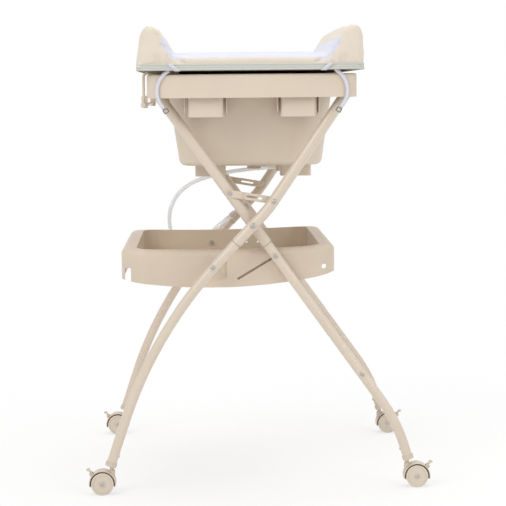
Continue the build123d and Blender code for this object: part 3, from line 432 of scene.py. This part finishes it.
def pad_cloth(cover, mesh, half_length):
    """Coated polyester cover with a pale spacer mesh sewn on as the lying surface.

    The coating gives a soft dull sheen and the mesh a paler, pricked surface. The weave's real thread is 0.4 mm, drawn
    at 1.05 mm so that it shows. The mesh holes are 3 mm apart, drawn at 5.3 mm.
    """
    material, tree, output = blank_material("coated_polyester_and_mesh")
    place = add_node(tree, "ShaderNodeTexCoord")
    parts = add_node(tree, "ShaderNodeSeparateXYZ", {}, {"Vector": place.outputs["Object"]})
    offset = add_node(tree, "ShaderNodeMath", {"operation": "SUBTRACT", 1: PAD_MIDDLE}, {0: parts.outputs["X"]})
    away = add_node(tree, "ShaderNodeMath", {"operation": "ABSOLUTE"}, {0: offset.outputs["Value"]})
    length = add_node(tree, "ShaderNodeMath", {"operation": "ABSOLUTE"}, {0: parts.outputs["Y"]})

    # The mesh reaches part way up the raised sides, and its end seam wavers over the pad's edge
    def within(value, most, soft):
        return add_node(tree, "ShaderNodeMapRange", {"From Min": most + soft, "From Max": most - soft},
                        {"Value": value})

    def both(first, second, operation):
        return add_node(tree, "ShaderNodeMath", {"operation": operation}, {0: first, 1: second}).outputs["Value"]

    flank = within(away.outputs["Value"], MESH_FLANK, 0.001).outputs["Result"]
    under = within(parts.outputs["Z"], MESH_TOP, 0.001).outputs["Result"]
    flat = within(away.outputs["Value"], MESH_END_FLANK, 0.002).outputs["Result"]
    short_of_end = within(length.outputs["Value"], half_length - MESH_END_GAP, 0.001).outputs["Result"]
    line = add_node(tree, "ShaderNodeMapping", {"Scale": (1.0, 0.0, 0.0)}, {"Vector": place.outputs["Object"]})
    waver = add_node(tree, "ShaderNodeTexNoise", {"Scale": 7.0, "Detail": 1.0}, {"Vector": line.outputs["Vector"]})
    seam = add_node(tree, "ShaderNodeMapRange",
                    {"From Min": 0.3, "From Max": 0.7, "To Min": SEAM_LOW, "To Max": SEAM_HIGH},
                    {"Value": waver.outputs["Fac"]})
    over = add_node(tree, "ShaderNodeMath", {"operation": "GREATER_THAN"},
                    {0: parts.outputs["Z"], 1: seam.outputs["Result"]})
    lying = both(short_of_end, both(over.outputs["Value"], flat, "MULTIPLY"), "MAXIMUM")
    raised = add_node(tree, "ShaderNodeMath", {"operation": "GREATER_THAN", 1: MESH_FOOT}, {0: parts.outputs["Z"]})
    area = both(both(flank, under, "MULTIPLY"), both(lying, raised.outputs["Value"], "MULTIPLY"), "MULTIPLY")

    threads = add_node(tree, "ShaderNodeTexWave", {"Scale": 300.0, "Distortion": 0.6, "bands_direction": "Y"},
                       {"Vector": place.outputs["Object"]})
    cross = add_node(tree, "ShaderNodeTexWave", {"Scale": 300.0, "Distortion": 0.6, "bands_direction": "DIAGONAL"},
                     {"Vector": place.outputs["Object"]})
    weave = both(threads.outputs["Fac"], cross.outputs["Fac"], "ADD")
    holes = add_node(tree, "ShaderNodeTexVoronoi", {"Scale": 190.0, "Randomness": 0.15},
                     {"Vector": place.outputs["Object"]})
    hole = add_node(tree, "ShaderNodeMapRange", {"From Min": 0.2, "From Max": 0.32, "To Min": 0.78, "To Max": 1.0},
                    {"Value": holes.outputs["Distance"]})
    cloud = add_node(tree, "ShaderNodeTexNoise", {"Scale": 14.0, "Detail": 3.0},
                     {"Vector": place.outputs["Object"]})
    tone = add_node(tree, "ShaderNodeMapRange", {"To Min": 0.93, "To Max": 1.04}, {"Value": cloud.outputs["Fac"]})
    cloth = add_node(tree, "ShaderNodeMix", {"data_type": "RGBA", "blend_type": "MULTIPLY", 0: 1.0,
                                             6: hex_colour(cover)}, {7: tone.outputs["Result"]})
    net = add_node(tree, "ShaderNodeMix", {"data_type": "RGBA", "blend_type": "MULTIPLY", 0: 1.0,
                                           6: hex_colour(mesh)}, {7: hole.outputs["Result"]})
    colour = add_node(tree, "ShaderNodeMix", {"data_type": "RGBA"},
                      {0: area, 6: cloth.outputs[2], 7: net.outputs[2]})
    height = add_node(tree, "ShaderNodeMix", {"data_type": "FLOAT"}, {0: area, 2: weave, 3: hole.outputs["Result"]})
    bump = add_node(tree, "ShaderNodeBump", {"Strength": 0.22, "Distance": 0.0005}, {"Height": height.outputs[0]})
    shader = add_node(tree, "ShaderNodeBsdfPrincipled",
                      {"Roughness": 0.62, "Sheen Weight": 0.25, "Sheen Roughness": 0.5},
                      {"Base Color": colour.outputs[2], "Normal": bump.outputs["Normal"]})
    show(tree, output, shader)
    return material


def ribbed_cloth(name, colour, rib_mm, direction):
    """Woven band: dull, with ribs that catch the light, at a spacing in millimetres that shows in the render."""
    material, tree, output = blank_material(name)
    place = add_node(tree, "ShaderNodeTexCoord")
    ribs = add_node(tree, "ShaderNodeTexWave",
                    {"Scale": WAVE_BAND_MM / rib_mm, "Distortion": 0.3, "bands_direction": direction},
                    {"Vector": place.outputs["Object"]})
    ramp = add_node(tree, "ShaderNodeValToRGB", {}, {"Fac": ribs.outputs["Fac"]})
    base = hex_colour(colour)
    ramp.color_ramp.elements[0].color = tuple(channel * 0.86 for channel in base[:3]) + (1.0,)
    ramp.color_ramp.elements[1].color = base
    bump = add_node(tree, "ShaderNodeBump", {"Strength": 0.3, "Distance": 0.0004},
                    {"Height": ribs.outputs["Fac"]})
    shader = add_node(tree, "ShaderNodeBsdfPrincipled",
                      {"Roughness": 0.7, "Sheen Weight": 0.2, "Sheen Roughness": 0.5},
                      {"Base Color": ramp.outputs["Color"], "Normal": bump.outputs["Normal"]})
    show(tree, output, shader)
    return material


def new_piece(name, shape, material):
    """An object at the origin from a bmesh, with smooth faces and one material."""
    mesh = bpy.data.meshes.new(name)
    shape.to_mesh(mesh)
    shape.free()
    for face in mesh.polygons:
        face.use_smooth = True
    mesh.materials.append(material)
    piece = bpy.data.objects.new(name, mesh)
    bpy.context.scene.collection.objects.link(piece)
    return piece


def apply_modifiers(piece):
    """Turn a piece's modifiers into its mesh."""
    graph = bpy.context.evaluated_depsgraph_get()
    done = bpy.data.meshes.new_from_object(piece.evaluated_get(graph))
    piece.modifiers.clear()
    piece.data = done


class CHANGING_TABLE_OT_stage(bpy.types.Operator):
    """Set the camera, the lights, the floor and the world."""

    bl_idname = "changing_table.stage"
    bl_label = "Stage"

    def execute(self, context):
        sizes = context.scene.changing_table_sizes
        camera_data = bpy.data.cameras.new("photo_camera")
        camera_data.lens = SENSOR_MM * FOCAL_PIXELS / PHOTO_PIXELS
        camera_data.sensor_width = SENSOR_MM
        camera_data.clip_end = 100
        camera = bpy.data.objects.new("photo_camera", camera_data)
        turn = Matrix.Rotation(radians(CAMERA_TURN), 4, "Z") @ Matrix.Rotation(radians(CAMERA_TILT), 4, "X")
        turn = turn @ Matrix.Rotation(radians(CAMERA_ROLL), 4, "Z")
        camera.matrix_world = Matrix.Translation(sizes.camera_place) @ turn
        context.scene.collection.objects.link(camera)
        context.scene.camera = camera
        context.scene.view_settings.view_transform = "Standard"

        for name, (place, size, power) in SOFTBOXES.items():
            light_data = bpy.data.lights.new(name, "AREA")
            light_data.size = size
            light_data.energy = power
            light = bpy.data.objects.new(name, light_data)
            light.location = place
            light.rotation_euler = (SOFTBOX_AIM - Vector(place)).to_track_quat("-Z", "Y").to_euler()
            context.scene.collection.objects.link(light)

        world = bpy.data.worlds.new("white_studio")
        world.use_nodes = True
        world.node_tree.nodes.clear()
        tree = world.node_tree
        level = add_node(tree, "ShaderNodeMapRange", {"To Min": WORLD_LIGHT, "To Max": 1.0},
                         {"Value": looking_rays(tree)})
        light = add_node(tree, "ShaderNodeBackground", {"Color": (1, 1, 1, 1)},
                         {"Strength": level.outputs["Result"]})
        output = add_node(tree, "ShaderNodeOutputWorld")
        tree.links.new(light.outputs["Background"], output.inputs["Surface"])
        context.scene.world = world

        material, tree, output = blank_material("white_studio_floor")
        place = add_node(tree, "ShaderNodeTexCoord")
        away = add_node(tree, "ShaderNodeVectorMath", {"operation": "LENGTH"}, {0: place.outputs["Object"]})
        fade = add_node(tree, "ShaderNodeMapRange",
                        {"From Min": FLOOR_NEAR, "From Max": FLOOR_FAR, "To Min": FLOOR_GLOW_NEAR, "To Max": 1.0},
                        {"Value": away.outputs["Value"]})
        share = add_node(tree, "ShaderNodeMath", {"operation": "MULTIPLY"},
                         {0: looking_rays(tree), 1: fade.outputs["Result"]})
        paper = add_node(tree, "ShaderNodeBsdfDiffuse", {"Color": hex_colour("#FFFFFF")})
        glow = add_node(tree, "ShaderNodeEmission", {"Color": (1, 1, 1, 1), "Strength": 1.0})
        mix = add_node(tree, "ShaderNodeMixShader", {}, {"Fac": share.outputs["Value"]})
        tree.links.new(paper.outputs["BSDF"], mix.inputs[1])
        tree.links.new(glow.outputs["Emission"], mix.inputs[2])
        tree.links.new(mix.outputs["Shader"], output.inputs["Surface"])
        shape = bmesh.new()
        bmesh.ops.create_grid(shape, x_segments=1, y_segments=1, size=FLOOR_SIZE)
        floor = new_piece("studio_floor", shape, material)
        return {"FINISHED"}


class CHANGING_TABLE_OT_hose(bpy.types.Operator):
    """Make the drain hose as one smooth spline along its route."""

    bl_idname = "changing_table.hose"
    bl_label = "Drain hose"

    def execute(self, context):
        sizes = context.scene.changing_table_sizes
        curve = bpy.data.curves.new("drain_hose_tube", "CURVE")
        curve.dimensions = "3D"
        curve.bevel_depth = sizes.hose_diameter / 2
        curve.bevel_resolution = 6
        curve.resolution_u = 10
        curve.use_fill_caps = True
        spline = curve.splines.new("NURBS")
        spline.points.add(len(HOSE_ROUTE) - 1)
        for point, (x, y, z) in zip(spline.points, HOSE_ROUTE):
            point.co = (x + MIDDLE, y, z, 1.0)
        spline.order_u = 3
        spline.use_endpoint_u = True
        curve.materials.append(soft_vinyl())
        hose = bpy.data.objects.new("drain_hose_tube", curve)
        context.scene.collection.objects.link(hose)
        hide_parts("drain_hose")
        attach(hose, "tub")
        return {"FINISHED"}


class CHANGING_TABLE_OT_pad(bpy.types.Operator):
    """Make the padded cover with raised sides, filled by a short cloth simulation."""

    bl_idname = "changing_table.pad"
    bl_label = "Changing pad"

    def execute(self, context):
        sizes = context.scene.changing_table_sizes
        colours = context.scene.changing_table_colours
        half = sizes.pad_length / 2
        foot = PAD_HALF_SECTION[1][1]
        right = [(PAD_MIDDLE + x + max(z - foot, 0) * PAD_LEAN, z) for x, z in PAD_HALF_SECTION]
        left = [(PAD_MIDDLE - x + max(z - foot, 0) * PAD_LEAN, z) for x, z in reversed(PAD_HALF_SECTION)]
        outline = right + [(PAD_MIDDLE, PAD_MIDDLE_TOP)] + left
        shape = bmesh.new()
        ring = [shape.verts.new((x, -half, z)) for x, z in outline]
        face = shape.faces.new(ring)
        pushed = bmesh.ops.extrude_face_region(shape, geom=[face])
        moved = [item for item in pushed["geom"] if isinstance(item, bmesh.types.BMVert)]
        bmesh.ops.translate(shape, verts=moved, vec=(0, 2 * half, 0))
        bmesh.ops.recalc_face_normals(shape, faces=shape.faces[:])
        rims = [edge for edge in shape.edges
                if abs(edge.verts[0].co.y - edge.verts[1].co.y) < 1e-6
                and min(edge.verts[0].co.z, edge.verts[1].co.z) > PAD_EDGE_LOW]
        bmesh.ops.bevel(shape, geom=rims, offset=PAD_EDGE_ROUND, offset_type="OFFSET", segments=4, profile=0.5,
                        affect="EDGES", material=-1)
        pad = new_piece("pad_cover", shape, pad_cloth(colours.cover, colours.mesh, half))
        remesh = pad.modifiers.new("even_grid", "REMESH")
        remesh.mode = "VOXEL"
        remesh.voxel_size = sizes.pad_voxel
        remesh.use_smooth_shade = True
        apply_modifiers(pad)
        self.crown(pad, half)
        self.fill(context, pad, sizes.pad_swell)
        smooth = pad.modifiers.new("soft_cover", "SMOOTH")
        smooth.factor = 0.5
        smooth.iterations = 3
        divide = pad.modifiers.new("fine_cover", "SUBSURF")
        divide.levels = 1
        divide.render_levels = 1
        apply_modifiers(pad)
        self.press_folds(pad, half)
        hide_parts("changing_pad")
        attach(pad, "changing_top")
        return {"FINISHED"}

    def crown(self, pad, half):
        """Raise the lying surface towards the middle of its length, fading out at the raised sides."""
        for vertex in pad.data.vertices:
            left_over = CROWN_REACH - abs(vertex.co.x - PAD_MIDDLE)
            if vertex.co.z > CROWN_LOW and left_over > 0:
                vertex.co.z += PAD_CROWN * (1 - (vertex.co.y / half) ** 2) * min(left_over / CROWN_FADE, 1.0)

    def fill(self, context, pad, most):
        """Blow the cover up a little, hold its base, and keep each point near where it began."""
        base = pad.vertex_groups.new(name="base")
        low = [vertex.index for vertex in pad.data.vertices if vertex.co.z < PAD_BASE_TOP]
        base.add(low, 1.0, "REPLACE")
        start = [vertex.co.copy() for vertex in pad.data.vertices]
        cloth = pad.modifiers.new("filling", "CLOTH")
        cloth.settings.quality = 4
        cloth.settings.mass = 0.2
        cloth.settings.tension_stiffness = 12
        cloth.settings.compression_stiffness = 12
        cloth.settings.shear_stiffness = 4
        cloth.settings.bending_stiffness = 0.2
        cloth.settings.use_pressure = True
        cloth.settings.uniform_pressure_force = 4
        cloth.settings.vertex_group_mass = "base"
        cloth.settings.effector_weights.gravity = 0
        cloth.collision_settings.use_collision = False
        cloth.point_cache.frame_start = 1
        cloth.point_cache.frame_end = FILL_STEPS
        for step in range(1, FILL_STEPS + 1):
            context.scene.frame_set(step)
        apply_modifiers(pad)
        context.scene.frame_set(1)
        for vertex, first in zip(pad.data.vertices, start):
            move = vertex.co - first
            if move.length > most:
                vertex.co = first + move.normalized() * most

    def press_folds(self, pad, half):
        """Press the sewn folds into both end faces, fading out along the pad."""
        for vertex in pad.data.vertices:
            inward = half - abs(vertex.co.y)
            if inward > FOLD_REACH:
                continue
            point = Vector((abs(vertex.co.x - PAD_MIDDLE), vertex.co.z))
            push = 0.0
            for first, last, width, depth in PAD_FOLDS:
                along = intersect_point_line(point, first, last)[1]
                near = Vector(first).lerp(Vector(last), min(max(along, 0.0), 1.0))
                push += depth * exp(-((point - near).length / width) ** 2)
            fade = 1 - max(inward, 0.0) / FOLD_REACH
            vertex.co.y -= copysign(push * fade, vertex.co.y)


class CHANGING_TABLE_OT_border(bpy.types.Operator):
    """Sew the border tape with its two corded edges round the pad's foot."""

    bl_idname = "changing_table.border"
    bl_label = "Pad border"

    def execute(self, context):
        sizes = context.scene.changing_table_sizes
        colours = context.scene.changing_table_colours
        wide = sizes.border_half_width
        long = sizes.pad_length / 2 + BORDER_OVERHANG
        shape = bmesh.new()
        bmesh.ops.create_grid(shape, x_segments=1, y_segments=1, size=0.5)
        bmesh.ops.scale(shape, verts=shape.verts[:], vec=(2 * wide, 2 * long, 1))
        bmesh.ops.bevel(shape, geom=shape.verts[:], offset=BORDER_CORNER, offset_type="OFFSET", segments=8,
                        profile=0.5, affect="VERTICES", material=-1)
        bmesh.ops.delete(shape, geom=shape.faces[:], context="FACES_ONLY")
        edges = shape.edges[:]
        height, out = BORDER_PROFILE[0]
        bmesh.ops.translate(shape, verts=shape.verts[:], vec=(0, 0, height))
        for next_height, next_out in BORDER_PROFILE[1:]:
            raised = bmesh.ops.extrude_edge_only(shape, edges=edges)
            verts = [item for item in raised["geom"] if isinstance(item, bmesh.types.BMVert)]
            edges = [item for item in raised["geom"] if isinstance(item, bmesh.types.BMEdge)]
            edges = [edge for edge in edges if edge.verts[0] in verts and edge.verts[1] in verts]
            bmesh.ops.translate(shape, verts=verts, vec=(0, 0, next_height - height))
            grow = next_out - out
            bmesh.ops.scale(shape, verts=verts, vec=(1 + grow / wide, 1 + grow / long, 1))
            height, out = next_height, next_out
        bmesh.ops.translate(shape, verts=shape.verts[:], vec=(PAD_MIDDLE, 0, 0))
        bmesh.ops.recalc_face_normals(shape, faces=shape.faces[:])
        # Sewn tape with real ribs of about 1 mm, drawn at 4.735 mm
        material = ribbed_cloth("sewn_border_tape", colours.border, 4.735, "Z")
        band = new_piece("pad_border", shape, material)
        wall = band.modifiers.new("tape_thickness", "SOLIDIFY")
        wall.thickness = BORDER_THICKNESS
        wall.offset = -1
        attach(band, "changing_top")
        return {"FINISHED"}


class CHANGING_TABLE_OT_straps(bpy.types.Operator):
    """Make the four elastic corner straps as flat curved webbing, each with its tape across the border."""

    bl_idname = "changing_table.straps"
    bl_label = "Corner straps"

    def execute(self, context):
        sizes = context.scene.changing_table_sizes
        colours = context.scene.changing_table_colours
        # Woven elastic with real ribs of about 1 mm, drawn at 3.946 mm
        material = ribbed_cloth("woven_elastic", colours.elastic, 3.946, "Z")
        for end, side in (("front", -1), ("rear", 1)):
            for hand, way in (("left", -1), ("right", 1)):
                node = f"{end}_{hand}_strap"
                low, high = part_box(node)
                y = (low[1] + high[1]) / 2
                points = [Vector((MIDDLE + way * x, y, z)) for x, z in STRAP_ARC]
                center = self.arc_center(points)
                first = points[0] - center
                last = points[2] - center
                radius = first.length
                start = atan2(first.z, first.x)
                turn = (atan2(last.z, last.x) - start + pi) % (2 * pi) - pi
                shape = bmesh.new()
                outer = shape.verts.new(center + first.normalized() * radius)
                inner = shape.verts.new(center + first.normalized() * (radius - sizes.strap_width))
                edge = shape.edges.new((outer, inner))
                bmesh.ops.spin(shape, geom=[outer, inner, edge], cent=center, axis=(0, -1, 0), angle=turn,
                               steps=24, use_merge=False, use_duplicate=False)
                self.add_tape(shape, side, way, sizes)
                bmesh.ops.recalc_face_normals(shape, faces=shape.faces[:])
                strap = new_piece(f"{end}_{hand}_webbing", shape, material)
                wall = strap.modifiers.new("elastic_thickness", "SOLIDIFY")
                wall.thickness = sizes.strap_thickness
                wall.offset = 0
                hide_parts(node)
                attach(strap, "changing_top")
        return {"FINISHED"}

    def add_tape(self, shape, side, way, sizes):
        """Lay the strap's sewn end slantwise over the border and under the pad."""
        face = sizes.pad_length / 2 + TAPE_STAND_OFF
        rows = [[shape.verts.new((PAD_MIDDLE + way * (x - reach), side * (face - back), z))
                 for reach in (0, sizes.tape_width)] for x, back, z in TAPE_ROUTE]
        for upper, lower in zip(rows, rows[1:]):
            shape.faces.new((upper[0], upper[1], lower[1], lower[0]))

    def arc_center(self, points):
        """The centre of the circle through three points of one front view plane."""
        a, b, c = points
        d = 2 * (a.x * (b.z - c.z) + b.x * (c.z - a.z) + c.x * (a.z - b.z))
        aa, bb, cc = (p.x * p.x + p.z * p.z for p in points)
        x = (aa * (b.z - c.z) + bb * (c.z - a.z) + cc * (a.z - b.z)) / d
        z = (aa * (c.x - b.x) + bb * (a.x - c.x) + cc * (b.x - a.x)) / d
        return Vector((x, a.y, z))


class CHANGING_TABLE_OT_seams(bpy.types.Operator):
    """Put a thin dark ring at the end of each sleeve, where the lower tube goes in: painted shade for the shadow in
    that seam.
    """

    bl_idname = "changing_table.seams"
    bl_label = "Sleeve rings"

    def execute(self, context):
        sizes = context.scene.changing_table_sizes
        colours = context.scene.changing_table_colours
        # Painted seam shade: a thin ring, dull and darker than the paint beside it, standing for the shadow where the
        # lower tube goes in
        material = moulded("painted_seam_shade_ring", colours.ring, roughness=0.6, grain_mm=0.8, grain_depth=0.1,
                           shade=0.9)
        for leg, (body, x, z, lean) in SLEEVE_ENDS.items():
            for end in ("front", "rear"):
                low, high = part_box(f"{end}_{leg}_upper_leg")
                shape = bmesh.new()
                bmesh.ops.create_circle(shape, segments=48, radius=sizes.sleeve_radius)
                lifted = bmesh.ops.extrude_edge_only(shape, edges=shape.edges[:])
                top = [item for item in lifted["geom"] if isinstance(item, bmesh.types.BMVert)]
                bmesh.ops.translate(shape, verts=top, vec=(0, 0, sizes.ring_width))
                bmesh.ops.recalc_face_normals(shape, faces=shape.faces[:])
                bmesh.ops.rotate(shape, verts=shape.verts[:], cent=(0, 0, 0),
                                 matrix=Matrix.Rotation(radians(-lean), 3, "Y"))
                bmesh.ops.translate(shape, verts=shape.verts[:], vec=(MIDDLE + x, (low[1] + high[1]) / 2, z))
                ring = new_piece(f"{end}_{leg}_sleeve_seam_shade", shape, material)
                wall = ring.modifiers.new("ring_thickness", "SOLIDIFY")
                wall.thickness = RING_THICKNESS
                wall.offset = 0
                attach(ring, body)
        return {"FINISHED"}


class CHANGING_TABLE_OT_finishes(bpy.types.Operator):
    """Give each solid of the frame its finish."""

    bl_idname = "changing_table.finishes"
    bl_label = "Finishes"

    def execute(self, context):
        colours = context.scene.changing_table_colours
        finishes = {
            # Powder coat: smooth and satin, so that a soft light line runs along each tube.
            # Its ripple is about 2 mm in fact, and is drawn at 40 mm because a finer one only speckles.
            "frame_paint": moulded("powder_coated_steel", colours.paint, roughness=0.34, grain_mm=40.0,
                                   grain_depth=0.01, shade=0.97, coat=0.4),
            # Moulded nylon: dull, with the mould's fine spark grain
            "fitting_plastic": moulded("moulded_nylon", colours.fitting, roughness=0.5, grain_mm=1.0,
                                       grain_depth=0.12, shade=0.95),
            # Moulded polypropylene: waxy, with broad soft highlights on a faint grain
            "tray_plastic": moulded("moulded_polypropylene_tray", colours.tray, roughness=0.46, grain_mm=1.2,
                                    grain_depth=0.14, shade=0.95),
            # The same plastic from a smoother mould: a little more gloss
            "tub_plastic": moulded("moulded_polypropylene_tub", colours.tub, roughness=0.4, grain_mm=1.2,
                                   grain_depth=0.1, shade=0.96),
            # Moulded ABS: harder and glossier than the other plastics
            "caster_plastic": moulded("moulded_abs", colours.fitting, **ABS_SKIN),
            # Moulded polyurethane: a dull tread that takes up the light
            "wheel_plastic": moulded("moulded_polyurethane", colours.wheel, roughness=0.52, grain_mm=1.4,
                                     grain_depth=0.16, shade=0.93),
            # Zinc plate: pale grey and bright
            "screw_steel": plated_steel("zinc_plated_steel", "#B9B6B0"),
            # Nickel plate: darker and warmer than zinc
            "buckle_steel": plated_steel("nickel_plated_steel", "#85837E"),
            "stopper_rubber": pale_rubber(),
            "board_panel": faced_board(colours.board),
        }
        for part in frame["record"]["subparts"]:
            finish = finishes.get(part["material_slot"])
            if finish is None:
                continue
            node = frame["nodes"][part["node"]]
            for slot in node.material_slots:
                slot.material = finish
        # The hoods are painted dark inside, round their wheels: painted shade for the gap between hood and wheels
        for corner in ("front_left", "front_right", "rear_left", "rear_right"):
            low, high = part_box(f"{corner}_caster_wheels")
            middle = (Vector(low) + Vector(high)) / 2
            hood = moulded(f"moulded_abs_{corner}", colours.fitting, **ABS_SKIN,
                           inside=(middle, HOOD_SHADE_REACH, colours.hood_shade))
            for slot in frame["nodes"][f"{corner}_caster_hood"].material_slots:
                slot.material = hood
        return {"FINISHED"}


class CHANGING_TABLE_PT_pieces(bpy.types.Panel):
    """Buttons for the table's pieces and stage."""

    bl_idname = "CHANGING_TABLE_PT_pieces"
    bl_label = "Changing table"
    bl_space_type = "VIEW_3D"
    bl_region_type = "UI"
    bl_category = "Changing table"

    def draw(self, context):
        for operator in OPERATORS:
            self.layout.operator(operator.bl_idname)
        for group in (context.scene.changing_table_colours, context.scene.changing_table_sizes):
            for name in group.bl_rna.properties.keys():
                if name not in ("rna_type", "name"):
                    self.layout.prop(group, name)


OPERATORS = (
    CHANGING_TABLE_OT_stage,
    CHANGING_TABLE_OT_hose,
    CHANGING_TABLE_OT_pad,
    CHANGING_TABLE_OT_border,
    CHANGING_TABLE_OT_straps,
    CHANGING_TABLE_OT_seams,
    CHANGING_TABLE_OT_finishes,
)
CLASSES = (ChangingTableColours, ChangingTableSizes, *OPERATORS, CHANGING_TABLE_PT_pieces)


def register():
    """Register the classes and hang the settings on the scene."""
    for item in CLASSES:
        bpy.utils.register_class(item)
    bpy.types.Scene.changing_table_colours = PointerProperty(type=ChangingTableColours)
    bpy.types.Scene.changing_table_sizes = PointerProperty(type=ChangingTableSizes)


def unregister():
    """Take the settings and classes away again."""
    del bpy.types.Scene.changing_table_sizes
    del bpy.types.Scene.changing_table_colours
    for item in reversed(CLASSES):
        bpy.utils.unregister_class(item)


def main():
    """Make every piece."""
    register()
    bpy.ops.changing_table.stage()
    bpy.ops.changing_table.hose()
    bpy.ops.changing_table.pad()
    bpy.ops.changing_table.border()
    bpy.ops.changing_table.straps()
    bpy.ops.changing_table.seams()
    bpy.ops.changing_table.finishes()


if __name__ == "__main__":
    main()
